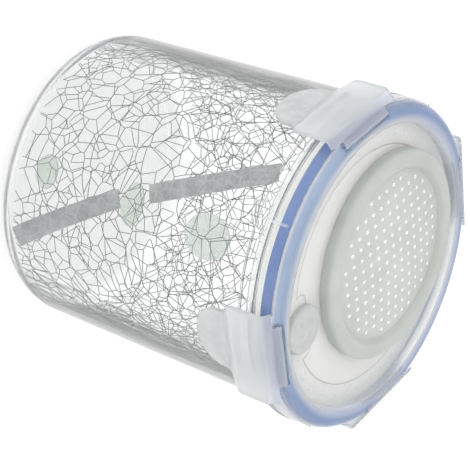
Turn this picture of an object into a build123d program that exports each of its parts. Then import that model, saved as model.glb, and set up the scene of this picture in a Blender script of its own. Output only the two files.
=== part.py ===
from build123d import *
import os
from math import asin, atan2, cos, degrees, hypot, radians, sin

# Mantis keeper box: a round clear jar with a climbing net inside and a clip-on lid.
# Millimetres, +Z up, origin at the centre of the jar's base.

# Jar
jar_height = 121.0
jar_neck_radius = 55.3
jar_taper = 1.8
jar_wall = 1.6
jar_floor = 2.0
base_edge_radius = 9.5
foot_ring_width = 4.0
foot_recess = 0.8
rim_rounding = 0.6

# Collar of the jar: a flange that the clips hook under, and a thick band below it
flange_drop = 2.3
flange_thickness = 2.2
flange_reach = 2.9
flange_rounding = 0.6
band_height = 4.8
band_reach = 0.9

# Lid
lid_roof = 3.6
skirt_wall = 1.5
skirt_clearance = 1.2
plug_wall = 1.6
plug_wall_depth = 10.5
plug_wall_clearance = 2.1
panel_drop = 4.0
panel_thickness = 1.6
lid_outer_rounding = 5.0
lid_inner_rounding = 1.4
rib_count = 4
rib_width = 1.0
rib_reach = 0.4

# Gasket in the lid's channel
gasket_height = 4.0
gasket_rounding = 0.5
gasket_side_clearance = 0.15
gasket_top_clearance = 0.1
rim_to_gasket = 0.3
skirt_to_flange = 0.3

# Vent: a soft perforated cap that snaps into a hole in the lid
vent_edge_gap = 4.3
vent_height = 4.8
vent_rounding = 1.9
vent_flange_width = 4.9
vent_fit = 0.2
vent_border_width = 7.1
vent_groove_drop = 1.7
vent_crown = 1.2
vent_skin = 1.3
vent_bead_reach = 1.0
vent_bead_height = 1.6
vent_bead_catch = 0.3
pin_hole_radius = 0.6
pin_hole_pitch = 4.35
pin_hole_grid_turn = 45.0
pin_hole_field_gap = 2.2
pin_hole_field_border = 1.1

# Feeding port: a small round plug beside the vent
port_radius = 6.0
port_edge_gap = 1.4
port_to_vent_gap = 2.5
port_direction = -45.0
port_plug_radius = 8.6
port_plug_head = 1.8
port_plug_rounding = 0.7
port_plug_stem = 3.6
port_plug_fit = 0.1
port_plug_lift_gap = 0.1

# Clips: four of them, each on a straight hinge bar in a pocket of the lid's ring
clip_count = 4
clip_first_direction = 45.0
clip_width = 35.4
clip_wall = 1.7
clip_gap = 0.4
clip_arm_wall = 1.0
clip_shoulder_drop = 3.8
clip_shoulder_rounding = 2.4
clip_corner_rounding = 2.5
clip_edge_rounding = 0.5
clip_band_below_hook = 0.9
clip_band_fall = 4.6
clip_fall_step = 0.8
clip_fall_rounding = 3.0
clip_tongue_wall = 1.4
clip_tongue_height = 17.0
clip_tongue_end_radius = 11.0
clip_tongue_width = 23.6
clip_tongue_gap = 0.8
clip_side_rounding = 5.0
clip_arm_step = 0.15
clip_wing_start = 2.0
clip_hinge_length = 24.0
hinge_bar_radius = 0.6
hinge_barrel_radius = 1.2
hinge_fit = 0.08
hinge_bar_set_in = 0.5
hinge_depth = 1.4
hinge_inset = 3.5
pocket_clearance = 0.35
pocket_side_clearance = 0.4
hook_width = 20.0
hook_reach = 1.9
hook_height = 2.6
hook_gap = 0.4
hook_slope = 0.8

# Climbing net and what holds it against the wall
net_thickness = 0.5
net_bottom = 9.0
net_to_flange = 4.6
liner_clearance = 0.3
layer_thickness = 0.6
net_to_layer = 0.3
seam_width = 6.6
seam_facing = -82.5

# Ends of each tape as (distance to the right, share of the net's height), seen from in front
lower_seam_start = (25.0, 0.05)
lower_seam_end = (2.6, 0.44)
upper_seam_start = (-3.4, 0.58)
upper_seam_end = (-22.3, 0.995)

# Pads as (compass direction, share of the net's height, height, width)
pad_places = [(-81.0, 0.127, 10.0, 12.0), (-80.0, 0.51, 9.5, 15.0), (-78.0, 0.825, 15.0, 14.0)]

# Heights and radii that follow from the values above
jar_base_radius = jar_neck_radius - jar_taper
flange_top = jar_height - flange_drop
flange_bottom = flange_top - flange_thickness
band_bottom = flange_bottom - band_height
flange_radius = jar_neck_radius + flange_reach
band_radius = jar_neck_radius + band_reach
gasket_bottom = jar_height + rim_to_gasket
channel_top = gasket_bottom + gasket_height + gasket_top_clearance
lid_top = channel_top + lid_roof
skirt_bottom = flange_top + skirt_to_flange
channel_outer = jar_neck_radius + skirt_clearance
lid_radius = channel_outer + skirt_wall
channel_inner = jar_neck_radius - jar_wall - plug_wall_clearance
plug_wall_inner = channel_inner - plug_wall
panel_top = lid_top - panel_drop
panel_bottom = panel_top - panel_thickness
port_offset = plug_wall_inner - port_edge_gap - port_plug_radius
vent_near_edge = port_offset - port_plug_radius - port_to_vent_gap
vent_far_edge = plug_wall_inner - vent_edge_gap
vent_radius = (vent_near_edge + vent_far_edge) / 2
vent_offset = vent_far_edge - vent_radius
vent_direction = port_direction + 180
vent_hole_radius = vent_radius - vent_flange_width
vent_groove_radius = vent_radius - vent_border_width
pin_hole_field_radius = vent_groove_radius - pin_hole_field_gap
hinge_height = lid_top - hinge_depth
hinge_reach = lid_radius - hinge_inset
clip_inner = flange_radius + clip_gap
clip_outer = clip_inner + clip_wall
hook_top = flange_bottom - hook_gap
band_end = hook_top - hook_height - clip_band_below_hook
shoulder_height = lid_top - clip_shoulder_drop
arm_reach = clip_outer - hinge_reach
arm_fall = hinge_height - shoulder_height
arm_slant = atan2(arm_fall, arm_reach) + asin(hinge_barrel_radius / hypot(arm_reach, arm_fall))
net_top = flange_bottom - net_to_flange


def along(direction, reach):
    """Point in the XY plane at a distance from the axis, in a compass direction in degrees."""
    return (reach * cos(radians(direction)), reach * sin(radians(direction)))


def turned(outline, roundings=None):
    """Solid of revolution about Z from (radius, height) corners, each with its own rounding."""
    radii = roundings if roundings else [0] * len(outline)
    edge = FilletPolyline(*outline, radius=radii, close=True)
    return revolve(Plane.XZ * make_face(edge), Axis.Z, 360)


def save(name, shape):
    """Writes one node; a node may be a group of separate solids."""
    shape.label = name
    export_step(shape, os.path.join("parts", name + ".step"))


def jar_outer_radius(height):
    """Outer radius of the tapered jar wall at a height above the base."""
    share = (height - base_edge_radius) / (jar_height - base_edge_radius)
    return jar_base_radius + share * (jar_neck_radius - jar_base_radius)


def make_jar():
    """Clear jar: tapered wall, rounded base edge, ring foot, collar flange and thick band."""
    inner_edge = base_edge_radius - jar_wall
    outline = [
        (0, foot_recess),
        (jar_base_radius - base_edge_radius - foot_ring_width, foot_recess),
        (jar_base_radius - base_edge_radius - foot_ring_width + foot_recess, 0),
        (jar_outer_radius(0), 0),
        (jar_outer_radius(band_bottom), band_bottom),
        (band_radius, band_bottom + band_reach),
        (band_radius, flange_bottom),
        (flange_radius, flange_bottom),
        (flange_radius, flange_top),
        (jar_neck_radius, flange_top),
        (jar_neck_radius, jar_height),
        (jar_neck_radius - jar_wall, jar_height),
        (jar_outer_radius(jar_floor) - jar_wall, jar_floor + foot_recess),
        (0, jar_floor + foot_recess),
    ]
    roundings = [
        0, 0, 0, base_edge_radius, 0, 0, 0, flange_rounding, flange_rounding, 0,
        rim_rounding, rim_rounding, inner_edge, 0,
    ]
    return turned(outline, roundings)


def make_lid():
    """Clear lid: raised ring with a gasket channel, sunken panel, clip pockets, vent and port holes."""
    outline = [
        (0, panel_bottom),
        (plug_wall_inner, panel_bottom),
        (plug_wall_inner, lid_top - plug_wall_depth),
        (channel_inner, lid_top - plug_wall_depth),
        (channel_inner, channel_top),
        (channel_outer, channel_top),
        (channel_outer, skirt_bottom),
        (lid_radius, skirt_bottom),
        (lid_radius, lid_top),
        (plug_wall_inner, lid_top),
        (plug_wall_inner, panel_top),
        (0, panel_top),
    ]
    roundings = [0, 0, 0, 0, 0, 0, 0, 0, lid_outer_rounding, lid_inner_rounding, 0, 0]
    lid = turned(outline, roundings)
    vent_x, vent_y = along(vent_direction, vent_offset)
    port_x, port_y = along(port_direction, port_offset)
    lid -= Pos(vent_x, vent_y, panel_bottom) * Cylinder(vent_hole_radius, 2 * panel_drop)
    lid -= Pos(port_x, port_y, panel_bottom) * Cylinder(port_radius, 2 * panel_drop)
    rib_height = lid_top - lid_outer_rounding - skirt_bottom
    for index in range(rib_count):
        place = Rot(0, 0, index * 360 / rib_count)
        rib = Box(
            skirt_wall / 2 + rib_reach, rib_width, rib_height,
            align=(Align.MIN, Align.CENTER, Align.MIN),
        )
        lid += place * Pos(lid_radius - skirt_wall / 2, 0, skirt_bottom) * rib
    for direction in clip_directions():
        lid = cut_pocket(lid, Rot(0, 0, direction))
    return lid


def clip_directions():
    """Compass directions of the clips, evenly round the lid."""
    return [clip_first_direction + index * 360 / clip_count for index in range(clip_count)]


def arm_point(run, depth):
    """Point a run down a clip's sloping arm from its barrel, and a depth under the outer face."""
    lift = hinge_barrel_radius - depth
    return (
        hinge_reach + lift * sin(arm_slant) + run * cos(arm_slant),
        hinge_height + lift * cos(arm_slant) - run * sin(arm_slant),
    )


def cut_pocket(lid, place):
    """Cuts a clip's pocket in the ring, sloping like the arm, and leaves the hinge bar in it."""
    sweep_radius = hinge_barrel_radius + pocket_clearance
    length = clip_hinge_length + 2 * pocket_side_clearance
    floor_depth = clip_arm_wall + pocket_clearance
    above = lid_top + lid_roof
    beyond = arm_point(lid_radius - hinge_reach + lid_roof, floor_depth)
    back = hinge_reach - sweep_radius
    mouth = Polyline(
        arm_point(0, floor_depth), beyond, (beyond[0], above), (back, above), (back, hinge_height),
        close=True,
    )
    opening = make_face(mouth) + Pos(hinge_reach, hinge_height) * Circle(sweep_radius)
    opening = extrude(Plane.XZ * opening, length / 2, both=True)
    bar = Pos(hinge_reach, 0, hinge_height) * Rot(90, 0, 0)
    bar *= Cylinder(hinge_bar_radius, length + 2 * hinge_bar_set_in)
    return lid - place * opening + place * bar


def make_gasket():
    """Soft ring with rounded corners that fills the channel, just above the jar's rim."""
    outer = channel_outer - gasket_side_clearance
    inner = channel_inner + gasket_side_clearance
    top = gasket_bottom + gasket_height
    corners = [(inner, gasket_bottom), (outer, gasket_bottom), (outer, top), (inner, top)]
    return turned(corners, [gasket_rounding] * len(corners))


def make_vent_cap():
    """Perforated disc with a thick rounded border and a snap bead under the lid's panel."""
    neck = vent_hole_radius - vent_fit
    border_top = panel_top + vent_height
    groove_height = border_top - vent_groove_drop
    disc_top = groove_height + vent_crown
    disc_radius = pin_hole_field_radius + pin_hole_field_border
    inner = vent_groove_radius - vent_skin
    bead_top = panel_bottom - vent_fit
    border = turned(
        [
            (disc_radius, disc_top - vent_skin),
            (inner, groove_height - vent_skin),
            (inner, bead_top - vent_bead_height),
            (neck, bead_top - vent_bead_height),
            (neck + vent_bead_reach, bead_top - vent_bead_catch),
            (neck + vent_bead_reach, bead_top),
            (neck, bead_top),
            (neck, panel_top),
            (vent_radius, panel_top),
            (vent_radius, border_top),
            (vent_groove_radius + vent_groove_drop, border_top),
            (vent_groove_radius, groove_height),
            (disc_radius, disc_top),
        ],
        [0, 0, 0, 0, 0, 0, 0, 0, 0, vent_rounding, vent_rounding, 0, 0],
    )
    field = Circle(disc_radius) - [Pos(x, y) * Circle(pin_hole_radius) for x, y in pin_hole_places()]
    disc = Pos(0, 0, disc_top - vent_skin) * extrude(field, vent_skin)
    vent_x, vent_y = along(vent_direction, vent_offset)
    return Pos(vent_x, vent_y, 0) * (border + disc)


def pin_hole_places():
    """Square grid turned by a named angle, kept inside a round field."""
    reach = int(pin_hole_field_radius / pin_hole_pitch) + 1
    step_x, step_y = along(pin_hole_grid_turn, pin_hole_pitch)
    places = []
    for row in range(-reach, reach + 1):
        for column in range(-reach, reach + 1):
            x = column * step_x - row * step_y
            y = column * step_y + row * step_x
            if hypot(x, y) <= pin_hole_field_radius:
                places.append((x, y))
    return places


def make_port_plug():
    """Soft round plug: a flat rounded head on the panel and a stem in the feeding port."""
    head_bottom = panel_top + port_plug_lift_gap
    head_top = head_bottom + port_plug_head
    stem = port_radius - port_plug_fit
    stem_bottom = panel_top - port_plug_stem
    plug = turned(
        [
            (0, stem_bottom),
            (stem - port_plug_rounding, stem_bottom),
            (stem, stem_bottom + port_plug_rounding),
            (stem, head_bottom),
            (port_plug_radius, head_bottom),
            (port_plug_radius, head_top),
            (0, head_top),
        ],
        [0, 0, 0, 0, 0, port_plug_rounding, 0],
    )
    port_x, port_y = along(port_direction, port_offset)
    return Pos(port_x, port_y, 0) * plug


def make_clip():
    """One clip, modelled facing +X: barrel, sloping arm, shoulder, band, hook and thumb tongue."""
    arm_end = (clip_inner - arm_point(0, clip_arm_wall)[0]) / cos(arm_slant)
    tongue_top = band_end - clip_band_fall
    tongue_end = band_end - clip_tongue_height
    tongue_inner = jar_outer_radius(tongue_top) + clip_tongue_gap
    tongue_outer = tongue_inner + clip_tongue_wall
    section = FilletPolyline(
        arm_point(clip_wing_start, 0),
        (clip_outer, shoulder_height),
        (clip_outer, band_end),
        (tongue_outer, tongue_top),
        (tongue_outer, tongue_end),
        (tongue_inner, tongue_end),
        (tongue_inner, tongue_top - clip_fall_step),
        (clip_inner, band_end - clip_fall_step),
        arm_point(arm_end, clip_arm_wall),
        arm_point(clip_wing_start, clip_arm_wall),
        radius=[
            clip_edge_rounding, clip_shoulder_rounding, clip_fall_rounding, clip_fall_rounding,
            clip_edge_rounding, clip_edge_rounding, clip_fall_rounding, clip_fall_rounding,
            clip_edge_rounding, 0,
        ],
        close=True,
    )
    clip = extrude(Plane.XZ * make_face(section), clip_width / 2, both=True)
    clip &= clip_front_outline(arm_point(clip_wing_start, 0)[1], tongue_top, tongue_end)
    overlap = clip_wing_start + clip_arm_wall
    arm = Polyline(
        (hinge_reach, hinge_height), arm_point(0, clip_arm_step),
        arm_point(overlap, clip_arm_step), arm_point(overlap, clip_arm_wall - clip_arm_step), close=True,
    )
    hinge = Pos(hinge_reach, hinge_height)
    barrel = make_face(arm) + hinge * Circle(hinge_barrel_radius)
    barrel -= hinge * Circle(hinge_bar_radius + hinge_fit)
    clip += extrude(Plane.XZ * barrel, clip_hinge_length / 2, both=True)
    return clip + clip_hook()


def clip_front_outline(arm_top, tongue_top, tongue_end):
    """Outline of the clip seen from in front: straight sides that curve in to a round-ended tongue."""
    half = clip_width / 2
    tongue_half = clip_tongue_width / 2
    end_half = max(clip_tongue_end_radius, tongue_half - clip_side_rounding / 10)
    right = [(half, arm_top), (half, band_end), (tongue_half, tongue_top), (end_half, tongue_end)]
    left = [(-across, up) for across, up in reversed(right)]
    radii = [clip_corner_rounding, clip_side_rounding, clip_side_rounding, clip_tongue_end_radius]
    outline = FilletPolyline(*right, *left, radius=radii + radii[::-1], close=True)
    return extrude(Plane.YZ * make_face(outline), clip_outer + clip_width)


def clip_hook():
    """Wedge on the band's inner face that catches under the jar's flange."""
    bottom = hook_top - hook_height
    tip = clip_inner - hook_reach
    root = clip_inner + clip_wall / 2
    wedge = Polyline(
        (root, hook_top), (clip_inner, hook_top), (tip, hook_top - hook_slope),
        (tip, bottom + hook_height / 2), (clip_inner, bottom), (root, bottom), close=True,
    )
    return extrude(Plane.XZ * make_face(wedge), hook_width / 2, both=True)


def wall_shell(gap, thickness):
    """Thin tapered shell inside the jar's wall, a gap away from it, over the net's height."""
    bottom = jar_outer_radius(net_bottom) - jar_wall - gap
    top = jar_outer_radius(net_top) - jar_wall - gap
    return turned([
        (bottom - thickness, net_bottom), (bottom, net_bottom),
        (top, net_top), (top - thickness, net_top),
    ])


def net_level(share):
    """Height at a share of the way up the net."""
    return net_bottom + share * (net_top - net_bottom)


def make_net():
    """Sleeve that stands for the climbing net, all the way round the wall."""
    return wall_shell(liner_clearance + layer_thickness + net_to_layer, net_thickness)


def make_seam(start, end):
    """Flat tape between the net and the wall, straight from start to end as seen from in front."""
    run = (end[0] - start[0], net_level(end[1]) - net_level(start[1]))
    length = hypot(*run)
    slant = degrees(atan2(run[1], run[0]))
    middle = ((start[0] + end[0]) / 2, net_level((start[1] + end[1]) / 2))
    slab = Box(length, seam_width, 2 * jar_neck_radius, align=(Align.CENTER, Align.CENTER, Align.MIN))
    slab = Plane.YZ * Pos(middle[0], middle[1], 0) * Rot(0, 0, slant) * slab
    return Rot(0, 0, seam_facing) * slab & wall_shell(liner_clearance, layer_thickness)


def make_pads():
    """Clear oval pads that hold the net to the wall."""
    shell = wall_shell(liner_clearance, layer_thickness)
    pads = []
    for direction, share, tall, wide in pad_places:
        oval = Pos(0, net_level(share)) * Ellipse(wide / 2, tall / 2)
        oval = extrude(Plane.YZ * oval, 2 * jar_neck_radius)
        pads += (Rot(0, 0, direction) * oval & shell).solids()
    return Compound(pads)


os.makedirs("parts", exist_ok=True)
save("jar", make_jar())
save("lid", make_lid())
save("gasket", make_gasket())
save("vent_cap", make_vent_cap())
save("feeding_plug", make_port_plug())
clip = make_clip()
for number, direction in enumerate(clip_directions(), start=1):
    save("clip_" + str(number), Rot(0, 0, direction) * clip)
save("climbing_net", make_net())
save("seam_tape_lower", make_seam(lower_seam_start, lower_seam_end))
save("seam_tape_upper", make_seam(upper_seam_start, upper_seam_end))
save("net_pads", make_pads())
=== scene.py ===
import math
import random
import bmesh
import bpy
from mathutils import Matrix, Vector
from mathutils.geometry import delaunay_2d_cdt


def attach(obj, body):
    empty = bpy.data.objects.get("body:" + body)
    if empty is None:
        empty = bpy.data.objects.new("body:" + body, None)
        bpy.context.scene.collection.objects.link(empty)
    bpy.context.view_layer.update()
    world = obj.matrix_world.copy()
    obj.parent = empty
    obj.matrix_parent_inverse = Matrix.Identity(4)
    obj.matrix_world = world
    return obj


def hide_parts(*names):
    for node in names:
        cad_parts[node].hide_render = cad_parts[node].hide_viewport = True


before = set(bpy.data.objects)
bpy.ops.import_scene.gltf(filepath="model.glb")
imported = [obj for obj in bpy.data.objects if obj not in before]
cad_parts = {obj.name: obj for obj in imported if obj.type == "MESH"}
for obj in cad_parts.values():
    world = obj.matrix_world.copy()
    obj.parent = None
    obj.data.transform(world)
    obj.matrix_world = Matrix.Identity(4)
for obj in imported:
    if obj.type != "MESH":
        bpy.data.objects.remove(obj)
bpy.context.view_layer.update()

# Jar: one moulded pot of clear styrene with a wide rounded base edge, a ring foot, a slight taper
# and a thick collar. It stands on its foot and everything else is fixed in it or on it.
# Sizes are in millimetres, as in the part's source, and become metres as a mesh is made.
MM = 0.001
JAR_OUTLINE = [
    (0.0, 0.8, 0.0), (31.0, 0.8, 9.0), (43.4, 0.0, 5.0), (53.35, 0.0, 9.5), (55.15, 111.7, 0.3),
    (56.2, 112.6, 0.3), (56.2, 116.5, 0.2), (58.2, 116.5, 0.6), (58.2, 118.7, 0.6),
    (55.3, 118.7, 0.25), (55.3, 121.0, 0.6), (53.7, 121.0, 0.6), (51.78, 2.8, 7.9), (0.0, 2.8, 0.0),
]
JAR_WALL_FOOT = (51.75, 9.5)
JAR_WALL_FLARE = 1.8 / 111.5
# The jar's painted edge shade fades in between these heights in millimetres above the foot.
JAR_SHADE_START = (4.0, 11.0)
SHARP_EDGE = 35


def corner_arc(before, corner, after, rounding, steps):
    """Points of the arc that rounds a corner, or the corner alone where it is sharp or straight."""
    before, after = (before - corner).normalized(), (after - corner).normalized()
    bend = before.angle(after)
    if rounding == 0 or bend > math.pi - 0.01:
        return [corner]
    reach = rounding / math.tan(bend / 2)
    centre = corner + (before + after).normalized() * rounding / math.sin(bend / 2)
    start = corner + before * reach - centre
    turn = start.angle_signed(corner + after * reach - centre)
    return [centre + Matrix.Rotation(-turn * k / steps, 2) @ start for k in range(steps + 1)]


def rounded_outline(corners, arc_steps=8, longest=6.0, guard=0.25):
    """Closed outline through (across, up, rounding) corners, with short runs beside each rounding."""
    spots = [Vector(corner[:2]) for corner in corners]
    roundings = [corner[2] for corner in corners]
    around = zip(spots[-1:] + spots[:-1], spots, spots[1:] + spots[:1], roundings)
    arcs = [corner_arc(*corner, arc_steps) for corner in around]
    outline = []
    for arc, following in zip(arcs, arcs[1:] + arcs[:1]):
        outline += arc
        run = following[0] - arc[-1]
        if run.length > 4 * guard:
            places = [guard / run.length, 1 - guard / run.length]
            parts = math.ceil(run.length / longest)
            places[1:1] = [k / parts for k in range(1, parts)]
            outline += [arc[-1] + run * place for place in places]
    return outline


def placed(name, data):
    """A new object of some data, linked to the scene."""
    thing = bpy.data.objects.new(name, data)
    bpy.context.scene.collection.objects.link(thing)
    return thing


def finished_mesh(name, bm, sharpest=SHARP_EDGE):
    """A linked object from a bmesh, smooth but for edges sharper than an angle, facing outwards."""
    bmesh.ops.remove_doubles(bm, verts=bm.verts, dist=1e-7)
    bmesh.ops.recalc_face_normals(bm, faces=bm.faces)
    mesh = bpy.data.meshes.new(name)
    bm.to_mesh(mesh)
    bm.free()
    mesh.shade_smooth()
    mesh.set_sharp_from_angle(angle=math.radians(sharpest))
    return placed(name, mesh)


def bridge(bm, first, second, closed=True):
    """Faces between two rows of points, or between a row and a single point."""
    count = max(len(first), len(second))
    for k in range(count if closed else count - 1):
        corners = [row[step % len(row)] for row, step in (
            (first, k), (first, k + 1), (second, k + 1), (second, k),
        )]
        corners = list(dict.fromkeys(corners))
        if len(corners) > 2:
            bm.faces.new(corners)


def turned(name, outline, around=256):
    """A closed body turned about Z from an outline of (radius, height) in millimetres."""
    bm = bmesh.new()
    rings = []
    for radius, height in outline:
        count = around if radius > 1e-6 else 1
        turns = [2 * math.pi * k / count for k in range(count)]
        rings.append([
            bm.verts.new((radius * MM * math.cos(t), radius * MM * math.sin(t), height * MM))
            for t in turns
        ])
    for ring, following in zip(rings, rings[1:] + rings[:1]):
        bridge(bm, ring, following)
    return finished_mesh(name, bm)


def plug_in(tree, node, inputs):
    """Sets a node's inputs, each to a plain value, a socket, or a node that stands for its first."""
    for title, value in inputs.items():
        if isinstance(value, bpy.types.Node):
            value = value.outputs[0]
        if isinstance(value, bpy.types.NodeSocket):
            tree.links.new(value, node.inputs[title])
        else:
            node.inputs[title].default_value = value


def add(tree, kind, inputs=None, **settings):
    """A node of a kind, with its settings made before its inputs are set."""
    node = tree.nodes.new(kind)
    for name, value in settings.items():
        setattr(node, name, value)
    plug_in(tree, node, inputs or {})
    return node


def new_tree(name, kind, inputs, outputs):
    """An empty node tree. An input has a starting number or a kind of socket, an output a kind."""
    tree = bpy.data.node_groups.new(name, kind)
    for side, sockets in (("INPUT", inputs), ("OUTPUT", outputs)):
        for title, value in sockets.items():
            number = isinstance(value, float)
            socket_type = "NodeSocket" + ("Float" if number else value)
            socket = tree.interface.new_socket(name=title, in_out=side, socket_type=socket_type)
            if number:
                socket.default_value = value
    return tree, add(tree, "NodeGroupInput").outputs, add(tree, "NodeGroupOutput")


def noise(tree, place, scale, detail, **more):
    """The value of a noise, from 0 to 1."""
    inputs = {"Vector": place, "Scale": scale, "Detail": detail, **more}
    return add(tree, "ShaderNodeTexNoise", inputs)


def mask(tree, value, low, high, start=0.0, end=1.0, curve="LINEAR"):
    """A number that goes from start to end as a value goes from low to high."""
    inputs = {"Value": value, "From Min": low, "From Max": high, "To Min": start, "To Max": end}
    return add(tree, "ShaderNodeMapRange", inputs, interpolation_type=curve)


def bumped(tree, height, strength, distance, normal=None, **settings):
    """A normal that is raised by a height, over another normal where one is given."""
    inputs = {"Height": height, "Strength": strength, "Distance": distance}
    if normal:
        inputs["Normal"] = normal
    return add(tree, "ShaderNodeBump", inputs, **settings)


def calculated(tree, operation, *values):
    """The result of one Math node."""
    return add(tree, "ShaderNodeMath", dict(enumerate(values)), operation=operation)


def moulding_ripple():
    """Group: the slow ripple and fine orange peel that a moulded surface takes from its tool."""
    sizes = {"Ripple size": 60.0, "Ripple depth": 0.1, "Peel size": 900.0, "Peel depth": 0.02}
    tree, given, result = new_tree("moulding_ripple", "ShaderNodeTree", sizes, {"Normal": "Vector"})
    place = add(tree, "ShaderNodeTexCoord").outputs["Object"]
    normal = None
    for kind, distance in (("Ripple", 0.002), ("Peel", 0.0002)):
        relief = noise(tree, place, given[kind + " size"], 2.0)
        normal = bumped(tree, relief, given[kind + " depth"], distance, normal)
    plug_in(tree, result, {"Normal": normal})
    return tree


def handling_haze():
    """Group: patchy roughness between a clean and a handled value, as thumbs and wiping leave it."""
    sizes = {"Patch size": 45.0, "Clean": 0.02, "Handled": 0.08}
    tree, given, result = new_tree("handling_haze", "ShaderNodeTree", sizes, {"Roughness": "Float"})
    place = add(tree, "ShaderNodeTexCoord").outputs["Object"]
    patches = noise(tree, place, given["Patch size"], 5.0, Roughness=0.6)
    roughness = mask(tree, patches, 0.42, 0.68, given["Clean"], given["Handled"])
    plug_in(tree, result, {"Roughness": roughness})
    return tree


RIPPLE = moulding_ripple()
HAZE = handling_haze()


def moulded_skin(tree, ripple, haze):
    """Normal and roughness from both groups. The ripple has its size and depth and the peel's size and
    depth, and the haze has its patch size and its clean and handled roughness."""
    return {
        title: add(tree, "ShaderNodeGroup", dict(enumerate(sizes)), node_tree=group)
        for title, group, sizes in (("Normal", RIPPLE, ripple), ("Roughness", HAZE, haze))
    }


def blank_material(name):
    """A material with its node tree, its Principled shader and the piece's own coordinates."""
    material = bpy.data.materials.new(name)
    material.use_nodes = True
    tree = material.node_tree
    place = add(tree, "ShaderNodeTexCoord").outputs["Object"]
    return material, tree, tree.nodes["Principled BSDF"], place


def toned(tree, value, *stops):
    """A colour from a value, through (position, colour) stops."""
    ramp = add(tree, "ShaderNodeValToRGB", {"Fac": value})
    elements = ramp.color_ramp.elements
    for index, (position, colour) in enumerate(stops):
        element = elements[index] if index < 2 else elements.new(position)
        element.position = position
        element.color = (*colour, 1)
    return ramp


def height_of(tree, place):
    """How high a point lies, in metres."""
    return add(tree, "ShaderNodeSeparateXYZ", {"Vector": place}).outputs["Z"]


def let_lamps_through(tree, shader, tint):
    """Rays from lamps pass a clear wall straight, so that they reach what is behind it."""
    clear = add(tree, "ShaderNodeBsdfTransparent", {"Color": tint})
    from_lamp = add(tree, "ShaderNodeLightPath").outputs["Is Shadow Ray"]
    either = add(tree, "ShaderNodeMixShader", {"Fac": from_lamp, 1: shader, 2: clear})
    plug_in(tree, tree.nodes["Material Output"], {"Surface": either})


def clear_styrene():
    """Clear glossy plastic of the jar: painted edge shade, tool ripple and faint wiping marks."""
    material, tree, plastic, place = blank_material("clear_styrene")
    # Painted shade: the colour greys to near black towards grazing edges, streaked along the jar.
    edge = add(tree, "ShaderNodeLayerWeight", {"Blend": 0.5}).outputs["Facing"]
    stretched = add(tree, "ShaderNodeMapping", {"Vector": place, "Scale": (1.0, 1.0, 0.12)})
    streaks = noise(tree, stretched, 420.0, 5.0, Roughness=0.65)
    cast = mask(tree, calculated(tree, "MULTIPLY_ADD", streaks, 0.5, edge), 0.78, 1.1)
    low, high = (height * MM for height in JAR_SHADE_START)
    above_foot = mask(tree, height_of(tree, place), low, high, 0.05)
    plug_in(tree, plastic, {
        "Base Color": toned(
            tree, calculated(tree, "MULTIPLY", cast, above_foot),
            (0.0, (0.965, 0.972, 0.97)), (0.45, (0.27, 0.28, 0.285)), (0.95, (0.04, 0.042, 0.044)),
        ),
        "Transmission Weight": 1.0,
        "IOR": 1.5,
        **moulded_skin(tree, ripple=(55.0, 0.03, 700.0, 0.004), haze=(40.0, 0.0, 0.03)),
    })
    let_lamps_through(tree, plastic, (0.93, 0.94, 0.94, 1))
    return material


jar = turned("jar_shell", rounded_outline(JAR_OUTLINE))
jar.data.materials.append(clear_styrene())
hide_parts("jar")
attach(jar, "jar")

# Climbing net: a crackle web of thin grey strands, a sleeve that lines the wall from just above the
# base edge to the collar. It is cut from warp-knitted net and held by tape and gel pads.
# It is drawn flat as two webs, each with its count of cells and its seed, and then laid on the wall.
NET_BOTTOM = 9.3
NET_TOP = 111.6
NET_MIDDLE = 60.0
NET_GAP = 0.5
NET_WEBS = ((1250, 11), (620, 23))
NET_WEB_STEP = 0.1
NET_CLUMPED = 0.2
NET_CLUMP_SPREAD = (2.4, 1.8)
NET_STRAND = 0.25
NET_STRAND_LENGTHS = (0.4, 30)
NET_STRAND_STEP = 2.2
NET_STRAND_SIDES = 5
NET_WANDER = 0.7
NET_WANDER_SCALE = 0.16


def wall_radius(height):
    """Inside radius of the jar's wall in millimetres."""
    return JAR_WALL_FOOT[0] + (height - JAR_WALL_FOOT[1]) * JAR_WALL_FLARE


def clipped_end(point, other, tall):
    """The end of a strand, brought back along it to the strip's edge where it runs past."""
    for edge in (0, tall):
        if (point.y - edge) * (other.y - edge) < 0 and not 0 <= point.y <= tall:
            return point.lerp(other, (edge - point.y) / (other.y - point.y))
    return point


def circle_centre(p, q, r):
    """Centre of the circle through three points, or their middle where they lie in a line."""
    d = 2 * (p.x * (q.y - r.y) + q.x * (r.y - p.y) + r.x * (p.y - q.y))
    if abs(d) < 1e-9:
        return (p + q + r) / 3
    pp, qq, rr = p.length_squared, q.length_squared, r.length_squared
    return Vector((
        (pp * (q.y - r.y) + qq * (r.y - p.y) + rr * (p.y - q.y)) / d,
        (pp * (r.x - q.x) + qq * (p.x - r.x) + rr * (q.x - p.x)) / d,
    ))


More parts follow.
